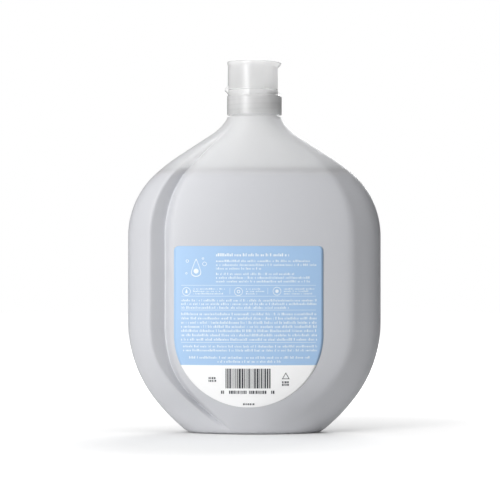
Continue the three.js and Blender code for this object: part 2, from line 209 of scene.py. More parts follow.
LOWER_REACH = HALF_WIDTH - LOWER_RADIUS * (1 - math.cos(LOWER_TURN))
BASE_TURN = math.acos(math.cos(LOWER_TURN) - (LOWER_REACH - BASE_WIDTH / 2) / BASE_ARC_RADIUS)
BASE_ARC = arc_from((BASE_WIDTH / 2, 0), BASE_ARC_RADIUS, -BASE_TURN, -LOWER_TURN)
LOWER_ARC = arc_from(BASE_ARC["end"], LOWER_RADIUS, -LOWER_TURN, 0)
SIDE_TOP = LOWER_ARC["end"][1] + SIDE_HEIGHT
UPPER_ARC = arc_from((HALF_WIDTH, SIDE_TOP), UPPER_RADIUS, 0, UPPER_TURN)
SHOULDER_ARC = arc_from(UPPER_ARC["end"], SHOULDER_RADIUS, UPPER_TURN, SHOULDER_TURN)
SLOPE_X, SLOPE_Z = SHOULDER_ARC["end"]
FILLET_X = NECK_ROOT_RADIUS + NECK_FILLET_RADIUS * (math.cos(NECK_FILLET_TURN) - math.cos(SHOULDER_TURN))
FILLET_Z = SLOPE_Z + (SLOPE_X - FILLET_X) / math.tan(SHOULDER_TURN)
FILLET_ARC = arc_from((FILLET_X, FILLET_Z), -NECK_FILLET_RADIUS, SHOULDER_TURN, NECK_FILLET_TURN)
ROOT_HEIGHT = FILLET_ARC["end"][1]
LEDGE_TOP = ROOT_HEIGHT + LEDGE
NECK_TOP = LEDGE_TOP + NECK_HEIGHT
SKIRT_BOTTOM = LEDGE_TOP + SKIRT_GAP
SKIRT_TOP = SKIRT_BOTTOM + SKIRT_HEIGHT
DECK_BOTTOM = NECK_TOP + CLEARANCE
DECK_TOP = DECK_BOTTOM + DECK
LID_BOTTOM = DECK_TOP + CLEARANCE
LID_TOP = LID_BOTTOM + LID_HEIGHT
COLLAR = SKIRT_RADIUS - COLLAR_STEP
THREAD_START = SKIRT_BOTTOM + THREAD_LEAD

# Stretches of the outline from the base up, each an arc or a straight between two heights,
# and how many rings it has
OUTLINE = (
    (BASE_ARC, 14), (LOWER_ARC, 34), ((LOWER_ARC["end"][1], SIDE_TOP), 12), (UPPER_ARC, 26),
    (SHOULDER_ARC, 8), ((SLOPE_Z, FILLET_Z), 8), (FILLET_ARC, 12),
)


def clamp01(value):
    return min(max(value, 0.0), 1.0)


def mix(low, high, share):
    return low + (high - low) * share


def ease(value):
    return clamp01(value) ** 2 * (3 - 2 * clamp01(value))


def half_width(height):
    level = min(height, ROOT_HEIGHT)
    for arc in (BASE_ARC, LOWER_ARC, UPPER_ARC, SHOULDER_ARC, FILLET_ARC):
        if arc["start"][1] <= level <= arc["end"][1]:
            reach = math.sqrt(arc["radius"] ** 2 - (level - arc["centre"][1]) ** 2)
            return arc["centre"][0] + math.copysign(reach, arc["radius"])
    if level < BASE_ARC["start"][1]:
        return BASE_WIDTH / 2
    if level < SIDE_TOP:
        return HALF_WIDTH
    return SLOPE_X - (level - SLOPE_Z) * math.tan(SHOULDER_TURN)


def half_depth(height):
    lower = clamp01(1 - height / BASE_TAPER) ** TAPER_POWER
    upper = math.cos(clamp01((height - SIDE_TOP) / (ROOT_HEIGHT - SIDE_TOP)) * math.pi / 2)
    return mix(NECK_ROOT_RADIUS, HALF_DEPTH, upper) - (BODY_DEPTH - BASE_DEPTH) / 2 * lower


def face_line(inset, height, sweep):
    share, power = sweep
    return 1 - inset / HALF_WIDTH - share * clamp01(1 - height / SWEEP_HEIGHT) ** power


def bezier(corners, count):
    """Points along a Bezier curve, up to but not with its last corner."""
    share = np.arange(count)[:, None] / count
    layer = [np.tile(np.asarray(corner, float), (count, 1)) for corner in corners]
    while len(layer) > 1:
        layer = [a + (b - a) * share for a, b in zip(layer, layer[1:])]
    return layer[0]


def face_shares(height):
    """One broad face from its left side to its right, in shares of half width and depth."""
    ridge = (-face_line(RIDGE_INSET, height, RIDGE_SWEEP), 1 - RIDGE_DROP / HALF_DEPTH)
    groove = (-face_line(RIDGE_INSET + GROOVE_SPAN, height, GROOVE_SWEEP), 1 - GROOVE_DROP / HALF_DEPTH)
    edge_x = face_line(SOFT_EDGE_INSET, height, SOFT_EDGE_SWEEP)
    bow = SOFT_EDGE_DROP / HALF_DEPTH / edge_x ** 2
    start_x = groove[0] + GROOVE_ROLL / HALF_WIDTH
    end_x = edge_x - SOFT_EDGE_ROUND / HALF_WIDTH
    start = (start_x, 1 - bow * start_x ** 2)
    end = (end_x, 1 - bow * end_x ** 2)
    edge = (edge_x, end[1] - 2 * bow * end_x * (edge_x - end_x))
    lean = FLANK_LEAN * edge[1] / (1 - edge_x)
    roll = SOFT_EDGE_ROLL / HALF_WIDTH
    flank = (edge_x + roll, edge[1] - lean * roll)
    run = (1 - edge_x) * FLANK_HANDLE
    rise = start_x - groove[0]
    climb = 2 * bow * start_x * rise * (1 - RISE_HANDLES[1])
    crest = (ridge[0] - (1 + ridge[0]) * CREST_HANDLE[0], ridge[1] - CREST_HANDLE[1])
    falls = [(mix(ridge[0], groove[0], along), mix(ridge[1], groove[1], down))
             for along, down in FALL_HANDLES]
    curves = (
        ((-1, 0), (-1, SIDE_HANDLE), crest, ridge),
        (ridge, *falls, groove),
        (groove, (groove[0] + rise * RISE_HANDLES[0], groove[1] + RISE_LIFT),
         (groove[0] + rise * RISE_HANDLES[1], start[1] + climb - RISE_LIFT), start),
        (start, ((start_x + end_x) / 2, 1 - bow * start_x * end_x), end),
        (end, edge, flank),
        (flank, (flank[0] + run, flank[1] - lean * run), (1, SIDE_HANDLE), (1, 0)),
    )
    shares = np.concatenate([bezier(corners, count) for corners, count in zip(curves, FACE_POINTS)])
    plain = max(1 - ease(height / FADE_BELOW), ease((height - FADE_ABOVE) / (ROOT_HEIGHT - FADE_ABOVE)))
    rounded = np.sqrt(np.maximum(1 - shares[:, 0] ** 2, 0))
    shares[:, 1] += (rounded - shares[:, 1]) * plain
    return shares


def full_ring(shares, across, through, height):
    """A closed ring: the front face, then the same turned half round."""
    level = np.full(len(shares), height)
    front = np.column_stack((shares[:, 0] * across, -shares[:, 1] * through, level))
    return np.concatenate((front, front * (-1, -1, 1)))


def body_ring(height, inset=0.0, lift=0.0):
    """The body's ring at a height, drawn in all round by inset and raised by lift."""
    across, through = half_width(height) - inset, half_depth(height) - inset
    ring = full_ring(face_shares(height), across, through, height + lift)
    for _ in range(ROUNDING_PASSES):
        ring = (np.roll(ring, 1, 0) + 2 * ring + np.roll(ring, -1, 0)) / 4
    return ring


def round_ring(radius, height):
    return full_ring(face_shares(ROOT_HEIGHT), radius, radius, height)


def inner_ring(height, distance):
    """A ring of the body moved level inwards, so that the wall keeps one thickness."""
    ring, above, below = (body_ring(height + step) for step in (0, 1, -1))
    outward = np.cross(np.roll(ring, -1, 0) - np.roll(ring, 1, 0), above - below)
    outward /= np.linalg.norm(outward, axis=1)[:, None]
    outward[:, 2] = 0
    return ring - outward * (distance / (outward ** 2).sum(1))[:, None]


def body_heights():
    """Ring heights, evenly spaced round each arc and up each straight of the outline."""
    heights = []
    for stretch, count in OUTLINE:
        for share in (step / count for step in range(count)):
            if isinstance(stretch, dict):
                turn = mix(*stretch["turns"], share)
                heights.append(stretch["centre"][1] + stretch["radius"] * math.sin(turn))
            else:
                heights.append(mix(*stretch, share))
    return heights + [ROOT_HEIGHT]


def base_rings(inset, lift):
    """The base from its raised middle out to the heel."""
    rings = []
    for share in (step / BASE_STEPS for step in range(BASE_STEPS + 1)):
        run = HEEL + STAND_BAND + PUSH_UP_SLOPE * (1 - share)
        rings.append(body_ring(0, run + inset, lift + PUSH_UP * (1 - ease(share))))
    rings.append(body_ring(0, HEEL + STAND_BAND / 2 + inset, lift))
    return rings


def blended(start, corner, end, count):
    """Places or rings along a curve from start to end that bends at corner."""
    return [(1 - t) ** 2 * start + 2 * t * (1 - t) * corner + t * t * end
            for t in (step / count for step in range(count + 1))]


def new_piece(name, verts, faces):
    mesh = bpy.data.meshes.new(name)
    mesh.from_pydata([tuple(v) for v in np.asarray(verts) * MM], [], faces)
    mesh.validate()
    mesh.shade_smooth()
    return shown(name, mesh)


def stacked(name, rings, loop=False):
    """A closed mesh from stacked rings, ended by fans or joined up with itself."""
    sides = len(rings[0])
    verts = np.concatenate(rings)
    faces = []
    for row in range(len(rings) if loop else len(rings) - 1):
        here = row * sides
        there = (row + 1) % len(rings) * sides
        for side in range(sides):
            beside = (side + 1) % sides
            faces.append((here + side, here + beside, there + beside, there + side))
    if not loop:
        middles = np.array([(0, 0, rings[0][:, 2].mean()), (0, 0, rings[-1][:, 2].mean())])
        bottom = len(verts)
        last = (len(rings) - 1) * sides
        verts = np.concatenate((verts, middles))
        for side in range(sides):
            beside = (side + 1) % sides
            faces.append((bottom, beside, side))
            faces.append((bottom + 1, last + side, last + beside))
    return new_piece(name, verts, faces)


def shown(name, mesh):
    """A fresh object that shows a mesh, or a camera or lamp."""
    piece = bpy.data.objects.new(name, mesh)
    bpy.context.collection.objects.link(piece)
    return piece


def baked(piece, name):
    """The piece with its modifiers applied, as a plain mesh on a fresh object."""
    graph = bpy.context.evaluated_depsgraph_get()
    mesh = bpy.data.meshes.new_from_object(piece.evaluated_get(graph))
    mesh.name = name
    bpy.data.objects.remove(piece)
    return shown(name, mesh)


def add_node(tree, kind, settings=None, links=None):
    """Adds a node with its settings, which are attributes or input values, and its links."""
    node = tree.nodes.new(kind)
    for key, value in (settings or {}).items():
        if isinstance(key, str) and key in node.bl_rna.properties:
            setattr(node, key, value)
        else:
            node.inputs[key].default_value = value
    for key, socket in (links or {}).items():
        tree.links.new(socket, node.inputs[key])
    return node


def worked_out(tree, kind, *values):
    """The result of a math node on numbers and sockets."""
    node = add_node(tree, "ShaderNodeMath", {"operation": kind})
    for at, value in enumerate(values):
        if isinstance(value, bpy.types.NodeSocket):
            tree.links.new(value, node.inputs[at])
        else:
            node.inputs[at].default_value = value
    return node.outputs[0]


# Bottle


def make_bottle():
    base = base_rings(0, 0)
    heel = blended(body_ring(0, HEEL_ROLL), body_ring(0), body_ring(HEEL_ROLL * 0.7), HEEL_STEPS)
    walls = [body_ring(height) for height in body_heights() if height > HEEL_ROLL]
    bend = 0.3 * LEDGE_ROUND
    neck = [(NECK_ROOT_RADIUS, LEDGE_TOP - LEDGE_ROUND), (NECK_ROOT_RADIUS - bend, LEDGE_TOP - bend),
            (NECK_ROOT_RADIUS - LEDGE_ROUND, LEDGE_TOP), (NECK_RADIUS + LEDGE_ROUND, LEDGE_TOP),
            (NECK_RADIUS + bend, LEDGE_TOP + bend), (NECK_RADIUS, LEDGE_TOP + LEDGE_ROUND),
            (NECK_RADIUS, NECK_TOP - LIP), (NECK_RADIUS - LIP / 3, NECK_TOP - LIP / 3),
            (NECK_RADIUS - LIP, NECK_TOP), (BORE_RADIUS, NECK_TOP), (BORE_RADIUS, ROOT_HEIGHT)]
    lowest, highest = HEEL + 2 * WALL, ROOT_HEIGHT - 2
    inside = [inner_ring(height, WALL) for height in body_heights()[::2] if lowest < height < highest]
    rings = base + heel + walls + [round_ring(*place) for place in neck]
    rings += inside[::-1] + [body_ring(0, HEEL + WALL, WALL)] + base_rings(WALL, WALL)[::-1]
    return stacked("bottle_skin", rings)


def front_reach(places):
    """How far forward the bottle's front skin is at each (x, z) place."""
    beyond = 2
    heights = np.arange(LABEL_BOTTOM - beyond, LABEL_TOP + beyond, LEVEL_STEP)
    rows = []
    for height in heights:
        ring = body_ring(height)
        front = ring[:len(ring) // 2]
        rows.append((front[:, 0], -front[:, 1]))
    reach = []
    for x, z in places:
        row = (z - heights[0]) / LEVEL_STEP
        last = len(heights) - 2
        low = int(clamp01(row / last) * last)
        below, above = (np.interp(x, *rows[at]) for at in (low, low + 1))
        reach.append(mix(below, above, row - low))
    return reach


def lay_on_label(mesh, lift):
    """Moves each point of a flat print forward on to the curved label."""
    places = [(vert.co.x / MM, vert.co.z / MM) for vert in mesh.vertices]
    for vert, reach in zip(mesh.vertices, front_reach(places)):
        vert.co.y += -(reach + lift) * MM


def make_label():
    middle = (LABEL_LEFT + LABEL_RIGHT) / 2
    half = (LABEL_RIGHT - LABEL_LEFT) / 2
    rows = []
    for step in range(CORNER_ROWS + 1):
        turn = math.radians(90 * step / CORNER_ROWS)
        drawn_in, down = LABEL_CORNER * (1 - math.sin(turn)), LABEL_CORNER * (1 - math.cos(turn))
        rows.append((half - drawn_in, LABEL_TOP - down))
    for step in range(1, SIDE_ROWS):
        rows.append((half, mix(LABEL_TOP - LABEL_CORNER, LABEL_BEND, step / SIDE_ROWS)))
    for step in range(FOOT_ROWS + 1):
        turn = math.radians(FOOT_TURN * step / FOOT_ROWS)
        rows.append((half * math.cos(turn), LABEL_BEND - (LABEL_BEND - LABEL_BOTTOM) * math.sin(turn)))
    across = LABEL_COLUMNS + 1
    verts = []
    faces = []
    for row, (reach, height) in enumerate(rows):
        for column in range(across):
            verts.append((middle + reach * (2 * column / LABEL_COLUMNS - 1), 0, height))
            if row and column:
                here = row * across + column
                faces.append((here, here - across, here - across - 1, here - 1))
    label = new_piece("label_flat", verts, faces)
    lay_on_label(label.data, LABEL_LIFT)
    film = label.modifiers.new("film", "SOLIDIFY")
    film.thickness = LABEL_FILM * MM
    film.offset = 1
    return baked(label, "label")


# Closure and lid

def thumb_radius(angle, radius):
    """Radius of the faceted thumb flat at an angle from +X, as the solid has it."""
    flat = radius - THUMB_INSET
    bend = radius - THUMB_BEND
    bends = [(flat, 0), (flat, flat * math.tan(THUMB_FACET / 2)),
             (bend * math.cos(THUMB_FACET), bend * math.sin(THUMB_FACET)),
             (radius * math.cos(1.5 * THUMB_FACET), radius * math.sin(1.5 * THUMB_FACET))]
    turn = abs(math.atan2(math.sin(angle), math.cos(angle)))
    for (ax, ay), (bx, by) in zip(bends, bends[1:]):
        if turn <= math.atan2(by, bx) + 1e-9:
            cross = ax * (by - ay) - ay * (bx - ax)
            return cross / (math.cos(turn) * (by - ay) - math.sin(turn) * (bx - ax))
    return radius


def rounded_profile(corners):
    """A profile with each corner rounded by its last value; the values between are carried along."""
    count = len(corners)
    profile = []
    for at, corner in enumerate(corners):
        here, size = np.array(corner[:-1], float), corner[-1]
        if not size:
            profile.append(here)
            continue
        ends = []
        for other in (corners[at - 1], corners[(at + 1) % count]):
            side = np.array(other[:-1], float) - here
            length = math.hypot(side[0], side[1])
            ends.append(here + side * min(size / length, CORNER_SHARE))
        profile += blended(ends[0], here, ends[1], CORNER_STEPS)
    return profile


def closure_rings(corners):
    """Rings from (radius, height, how deep the thumb flat goes, wall outside it, rounding)."""
    angles = np.arange(CLOSURE_SIDES) / CLOSURE_SIDES * 2 * math.pi
    flats = np.array([thumb_radius(angle, COLLAR) for angle in angles])
    rings = []
    for radius, height, depth, wall in rounded_profile(corners):
        reach = np.minimum(radius, np.maximum(flats - wall, radius - depth))
        level = np.full(len(angles), height)
        rings.append(np.column_stack((reach * np.cos(angles), reach * np.sin(angles), level)))
    return rings


def joined_hinge(piece, outline, name):
    """Joins a bar along the hinge, given by its outline in X and Z, on to a moulding."""
    count = len(outline)
    verts = [(x, side * HINGE_LENGTH / 2, z) for side in (-1, 1) for x, z in outline]
    faces = [tuple(range(count)), tuple(range(2 * count - 1, count - 1, -1))]
    faces += [(at, at + count, (at + 1) % count + count, (at + 1) % count) for at in range(count)]
    bar = new_piece("hinge_bar", verts, faces)
    form = bmesh.new()
    form.from_mesh(bar.data)
    bmesh.ops.recalc_face_normals(form, faces=form.faces)
    bmesh.ops.bevel(form, geom=form.edges, offset=HINGE_BEVEL * MM, segments=2, affect="EDGES", profile=0.5)
    form.to_mesh(bar.data)
    form.free()
    union = piece.modifiers.new("hinge", "BOOLEAN")
    union.operation = "UNION"
    union.object = bar
    result = baked(piece, name)
    bpy.data.objects.remove(bar)
    result.data.shade_smooth()
    result.data.set_sharp_from_angle(angle=SHARP_FROM)
    return result


def make_closure():
    inside = SKIRT_RADIUS - SKIRT_WALL
    seal = BORE_RADIUS - CLEARANCE
    ledge = SKIRT_TOP + COLLAR_STEP
    spout = DECK_TOP + SPOUT_HEIGHT
    rings = closure_rings([
        (SKIRT_RADIUS, SKIRT_BOTTOM, 0, 0, 0.35),
        (SKIRT_RADIUS, SKIRT_TOP, 0, 0, 0.3),
        (COLLAR, ledge, 0, 0, 0.2),
        (COLLAR, ledge + THUMB_INSET, THUMB_INSET, 0, 0.2),
        (COLLAR, DECK_TOP, THUMB_INSET, 0, 0.3),
        (SPOUT_BASE_RADIUS, DECK_TOP, 0, 0, 0.6),
        (SPOUT_TOP_RADIUS, spout, 0, 0, 0.4),
        (ORIFICE_RADIUS, spout, 0, 0, 0.3),
        (ORIFICE_RADIUS, DECK_BOTTOM, 0, 0, 0.2),
        (seal - SEAL_WALL, DECK_BOTTOM, 0, 0, 0.3),
        (seal - SEAL_WALL, DECK_BOTTOM - SEAL_DEPTH, 0, 0, 0.2),
        (seal - SEAL_WALL / 2, DECK_BOTTOM - SEAL_DEPTH, 0, 0, 0.1),
        (seal, DECK_BOTTOM - SEAL_DEPTH + SEAL_WALL, 0, 0, 0.2),
        (seal, DECK_BOTTOM, 0, 0, 0.3),
        (inside, DECK_BOTTOM, 0, 0, 0.5),
        (inside, SKIRT_BOTTOM, 0, 0, 0.3),
    ])
    closure = stacked("closure_mould", rings, loop=True)
    reach, root = COLLAR + HINGE_REACH, COLLAR - COLLAR_STEP
    return joined_hinge(closure, [
        (-root, DECK_TOP), (-reach, DECK_TOP),
        (-reach, DECK_TOP - CLEARANCE), (-root, DECK_TOP - CLEARANCE - HINGE_SLOPE),
    ], "closure_moulding")


def make_lid():
    rim = COLLAR + LID_DRAFT
    plug_end = DECK_TOP + SPOUT_HEIGHT - PLUG_DEPTH
    lip = LID_TOP - LIP_HEIGHT
    under = LID_TOP - LID_WALL
    depth = THUMB_INSET + LID_DRAFT
    corners = [
        (PLUG_RADIUS - PLUG_WALL, under, 0, 0, 0),
        (PLUG_RADIUS - PLUG_WALL, plug_end, 0, 0, 0.2),
        (PLUG_RADIUS - PLUG_WALL / 2, plug_end, 0, 0, 0.15),
        (PLUG_RADIUS, plug_end + PLUG_WALL, 0, 0, 0.2),
        (PLUG_RADIUS, under, 0, 0, 0.4),
        (rim - LID_WALL, under, depth, LID_WALL, 0.5),
        (COLLAR - LID_WALL, LID_BOTTOM, THUMB_INSET, LID_WALL, 0.2),
        (COLLAR, LID_BOTTOM, THUMB_INSET, 0, 0.3),
        (rim, lip - depth, depth, 0, 0.4),
        (rim, lip, 0, 0, 0.4),
        (rim, LID_TOP, 0, 0, LID_EDGE),
        (0.5, LID_TOP, 0, 0, 0),
    ]
    lid = stacked("lid_mould", closure_rings(corners))
    reach, root = COLLAR + HINGE_REACH, COLLAR - COLLAR_STEP
    return joined_hinge(lid, [
        (-root, LID_BOTTOM), (-root, LID_BOTTOM + CLEARANCE + HINGE_SLOPE),
        (-reach, LID_BOTTOM + CLEARANCE), (-reach, LID_BOTTOM),
    ], "lid_moulding")


def make_hinge_film():
    """The thin film of plastic that the lid turns on."""
    form = bmesh.new()
    radius = HINGE_FILM_RADIUS * MM
    bmesh.ops.create_cone(form, cap_ends=True, segments=12, radius1=radius, radius2=radius,
                          depth=HINGE_LENGTH * MM)
    bmesh.ops.rotate(form, verts=form.verts, matrix=Matrix.Rotation(math.pi / 2, 3, "X"))
    middle = (-(COLLAR + HINGE_REACH) * MM, 0, (DECK_TOP + LID_BOTTOM) / 2 * MM)
    bmesh.ops.translate(form, verts=form.verts, vec=middle)
    mesh = bpy.data.meshes.new("hinge_film")
    form.to_mesh(mesh)
    form.free()
    return shown("hinge_film", mesh)


# Print on the label: plain bars, rules and rings in place of lettering and pictures

# Rows of letter bars by their left end, middle height, length and tallness, in the
# photograph's pixels
HEADING_ROWS = ((216, 254.8, 72, 3.0),)
SMALL_ROWS = (
    (216, 260.9, 93, 2.3), (216, 264.8, 99, 2.3), (216, 268.4, 45, 2.3),
    (216, 273.9, 77, 2.3), (216, 277.6, 93, 2.3), (216, 281.3, 93, 2.3),
    (193, 288.8, 33, 1.6), (193, 291.2, 27, 1.6), (193, 293.6, 30, 1.6),
    (246, 288.8, 16, 1.6), (246, 291.2, 18, 1.6), (246, 293.6, 13, 1.6),
    (284, 288.8, 30, 1.6), (284, 291.2, 24, 1.6), (284, 293.6, 28, 1.6),
    (181, 300.3, 134, 2.4), (181, 303.9, 134, 2.4), (181, 307.6, 106, 2.4),
    (181, 314.0, 134, 2.6), (181, 318.2, 134, 2.6), (181, 322.5, 134, 2.6), (181, 326.6, 134, 2.6),
    (181, 330.8, 134, 2.6), (181, 335.1, 134, 2.6), (181, 339.4, 134, 2.6),
    (183, 346.3, 132, 2.4), (183, 350.3, 132, 2.4), (189, 357.5, 119, 2.4), (217.6, 361.5, 62, 2.4),
)
DARK_ROWS = ((221, 392.4, 4, 3.2), (229, 392.4, 18, 3.2), (249, 392.4, 18, 3.2), (271, 392.4, 4, 3.2),
             (208.5, 378.3, 8, 2.0), (208.5, 381.0, 8, 2.0), (282, 382.4, 8, 2.0), (282, 385.0, 8, 2.0),
             (243, 404.4, 12, 1.8))
BARCODE_ROWS = ((225.5, 378.6, 46, 19.5),)
# Rules by their ends and height, dividers by their place and ends, rings by their middle
RULES = ((181, 316, 285.5), (181, 316, 296.4), (181, 316, 310.3), (181, 316, 342.7))
DIVIDERS = ((229.7, 288, 294), (267.6, 288, 294))
RINGS = ((186.3, 291.6), (238.5, 291.6), (277, 291.2))
BIG_DROP = (196, 268)
TRIANGLE = (285.8, 377)

# Sizes in millimetres: the width of a rule, and the outer and inner radius of each shape
RULE_WIDTH = 0.22
RING_RADII = (2.7, 2.35)
BIG_DROP_RADII = (4.6, 4.0)
BIG_DOT_RADIUS = 1.6
TRIANGLE_RADII = (2.9, 2.0)
# Bubbles round the big drop by how far they stand from it, and their radius
BUBBLES = ((-5.6, 4.4, 1.0), (5.4, 2.6, 1.4), (4.4, 6.0, 0.7), (-6.2, -3.4, 0.7))
BUBBLE_WALL = 0.35
# Points of the print nearer together than this, in metres, become one
WELD = 1e-7


def on_label(px, py):
    """The place on the label, in millimetres, that a pixel of the photograph shows."""
    scale = PIXEL * (CAMERA_DISTANCE - HALF_DEPTH) / CAMERA_DISTANCE
    middle = FRAME_PIXELS / 2
    return ((px - middle) * scale + (middle - AXIS_PIXEL) * PIXEL,
            (middle - py) * scale + (FLOOR_PIXEL - middle) * PIXEL)


def new_tree(name, inputs):
    """A geometry node group with named inputs, and the sockets that give them."""
    tree = bpy.data.node_groups.new(name, "GeometryNodeTree")
    for label, kind in inputs.items():
        tree.interface.new_socket(label, in_out="INPUT", socket_type="NodeSocket" + kind)
    tree.interface.new_socket("Result", in_out="OUTPUT", socket_type="NodeSocketGeometry")
    return tree, add_node(tree, "NodeGroupInput").outputs


def end_tree(tree, shape, material):
    real = add_node(tree, "GeometryNodeRealizeInstances", links={0: shape}).outputs[0]
    inked = add_node(tree, "GeometryNodeSetMaterial", links={"Geometry": real, "Material": material})
    add_node(tree, "NodeGroupOutput", links={0: inked.outputs[0]})


def letter_tree():
    """Fills each row with bars of random width, parted by letter gaps and word gaps."""
    tree, given = new_tree("letter_rows", {
        "Rows": "Geometry", "Letters": "Int", "Cells upright": "Int", "Letter width": "Float",
        "Letter gap": "Float", "Narrowest": "Float", "Widest": "Float", "Share short": "Float",
        "Lowest": "Float", "Word gap": "Float", "Word end": "Float", "Seed": "Int", "Ink": "Material"})

    def seeded(step):
        return {"ID": index, "Seed": worked_out(tree, "ADD", given["Seed"], step)}

    def named(name, kind="FLOAT"):
        settings = {"data_type": kind, "Name": name}
        return add_node(tree, "GeometryNodeInputNamedAttribute", settings).outputs[0]

    def stored(shape, name, value):
        return add_node(tree, "GeometryNodeStoreNamedAttribute", {"data_type": "FLOAT", "Name": name},
                        {"Geometry": shape, "Value": value}).outputs[0]

    index = add_node(tree, "GeometryNodeInputIndex").outputs[0]
    letters = add_node(tree, "GeometryNodeDuplicateElements", {"domain": "POINT"},
                       {"Geometry": given["Rows"], "Amount": given["Letters"]}).outputs[0]
    share = add_node(tree, "FunctionNodeRandomValue", {"data_type": "FLOAT"},
                     {2: given["Narrowest"], 3: given["Widest"], **seeded(0)}).outputs[1]
    width = worked_out(tree, "MULTIPLY", share, given["Letter width"])
    short = add_node(tree, "FunctionNodeRandomValue", {"data_type": "BOOLEAN"},
                     {"Probability": given["Share short"], **seeded(13)}).outputs[3]
    cut = worked_out(tree, "MULTIPLY", short, worked_out(tree, "SUBTRACT", 1, given["Lowest"]))
    ends_word = add_node(tree, "FunctionNodeRandomValue", {"data_type": "BOOLEAN"},
                         {"Probability": given["Word end"], **seeded(7)}).outputs[3]
    word_gap = worked_out(tree, "MULTIPLY", ends_word, given["Word gap"])
    gap = worked_out(tree, "ADD", given["Letter gap"], word_gap)
    along = add_node(tree, "GeometryNodeAccumulateField", {"data_type": "FLOAT", "domain": "POINT"},
                     {"Value": worked_out(tree, "ADD", width, gap), "Group Index": named("row", "INT")})
    letters = stored(letters, "width", width)
    letters = stored(letters, "share_tall", worked_out(tree, "SUBTRACT", 1, cut))
    letters = stored(letters, "along", along.outputs["Trailing"])
    over = add_node(tree, "FunctionNodeCompare", {"data_type": "FLOAT", "operation": "GREATER_THAN"},
                    {"A": worked_out(tree, "ADD", named("along"), named("width")), "B": named("run")})
    kept = add_node(tree, "GeometryNodeDeleteGeometry", {"domain": "POINT"},
                    {"Geometry": letters, "Selection": over.outputs[0]})
    middle = worked_out(tree, "ADD", named("along"), worked_out(tree, "MULTIPLY", named("width"), 0.5))
    height = worked_out(tree, "MULTIPLY", named("tall"), named("share_tall"))
    sink = worked_out(tree, "MULTIPLY", worked_out(tree, "SUBTRACT", height, named("tall")), 0.5)
    offset = add_node(tree, "ShaderNodeCombineXYZ", links={"X": middle, "Z": sink})
    moved = add_node(tree, "GeometryNodeSetPosition", links={
        "Geometry": kept.outputs[0], "Offset": offset.outputs[0]})
    bar = add_node(tree, "GeometryNodeMeshGrid", {"Size X": 1, "Size Y": 1, "Vertices X": 2},
                   {"Vertices Y": given["Cells upright"]})
    upright = add_node(tree, "GeometryNodeTransform", {"Rotation": (math.pi / 2, 0, 0)},
                       {"Geometry": bar.outputs[0]})
    size = add_node(tree, "ShaderNodeCombineXYZ", {"Y": 1}, {"X": named("width"), "Z": height})
    bars = add_node(tree, "GeometryNodeInstanceOnPoints", links={
        "Points": moved.outputs[0], "Instance": upright.outputs[0], "Scale": size.outputs[0]})
    end_tree(tree, bars.outputs[0], given["Ink"])
    return tree


def grown(piece, tree, values, name):
    """Runs a node tree on a piece and gives back the plain mesh it makes."""
    modifier = piece.modifiers.new(tree.name, "NODES")
    modifier.node_group = tree
    for item in tree.interface.items_tree:
        if item.name in values:
            modifier[item.identifier] = values[item.name]
    return baked(piece, name)


def letter_rows(name, rows, tree, values):
    """Bars along each row, grown from one point that holds its length, tallness and number."""
    rows = [(*on_label(px, py), run * PIXEL, tall * PIXEL) for px, py, run, tall in rows]
    piece = new_piece(name, [(x, 0, z) for x, z, _, _ in rows], [])
    for label, column in (("run", 2), ("tall", 3)):
        layer = piece.data.attributes.new(label, "FLOAT", "POINT")
        layer.data.foreach_set("value", [row[column] * MM for row in rows])
    numbers = piece.data.attributes.new("row", "INT", "POINT")
    numbers.data.foreach_set("value", list(range(len(rows))))
    return grown(piece, tree, values, name)


def strip(corners, across, cells):
    """A flat band of cells between two places, as wide as across says."""
    (ax, az), (bx, bz) = corners
    verts = []
    for step in range(cells + 1):
        x, z = mix(ax, bx, step / cells), mix(az, bz, step / cells)
        verts += [(x, 0, z), (x + across[0], 0, z + across[1])]
    return verts, [(2 * at, 2 * at + 2, 2 * at + 3, 2 * at + 1) for at in range(cells)]


def outline_ring(centre, outer, inner, shape, sides=36):
    """A flat ring whose outline is a circle, drop or triangle."""
    verts = []
    for step in range(sides):
        x, z = shape(2 * math.pi * step / sides)
        verts += [(centre[0] + x * reach, 0, centre[1] + z * reach) for reach in (outer, inner)]
    count = 2 * sides
    return verts, [(at, at + 1, (at + 3) % count, (at + 2) % count) for at in range(0, count, 2)]


def circle(turn):
    return math.sin(turn), math.cos(turn)


def drop(turn):
    """A falling drop: round below and drawn up to a point."""
    up = math.cos(turn)
    return math.sin(turn) * (1 - 0.4 * (1 + up)), up * (1.5 if up > 0 else 1)


def triangle(turn):
    """A triangle of equal sides that stands on one of them."""
    third = 2 * math.pi / 3
    reach = 0.5 / math.cos(turn % third - third / 2)
    return math.sin(turn) * reach, math.cos(turn) * reach


# The mark inside each ring, by its shape and its outer and inner radius
MARKS = ((drop, 1.1, 0.0), (circle, 1.1, 0.6), (circle, 1.1, 0.0))


def gathered(name, shapes):
    """Flat shapes, each given by its places and cells, as one piece."""
    verts, faces = [], []
    for some, cells in shapes:
        faces += [tuple(at + len(verts) for at in cell) for cell in cells]
        verts += some
    return new_piece(name, verts, faces)


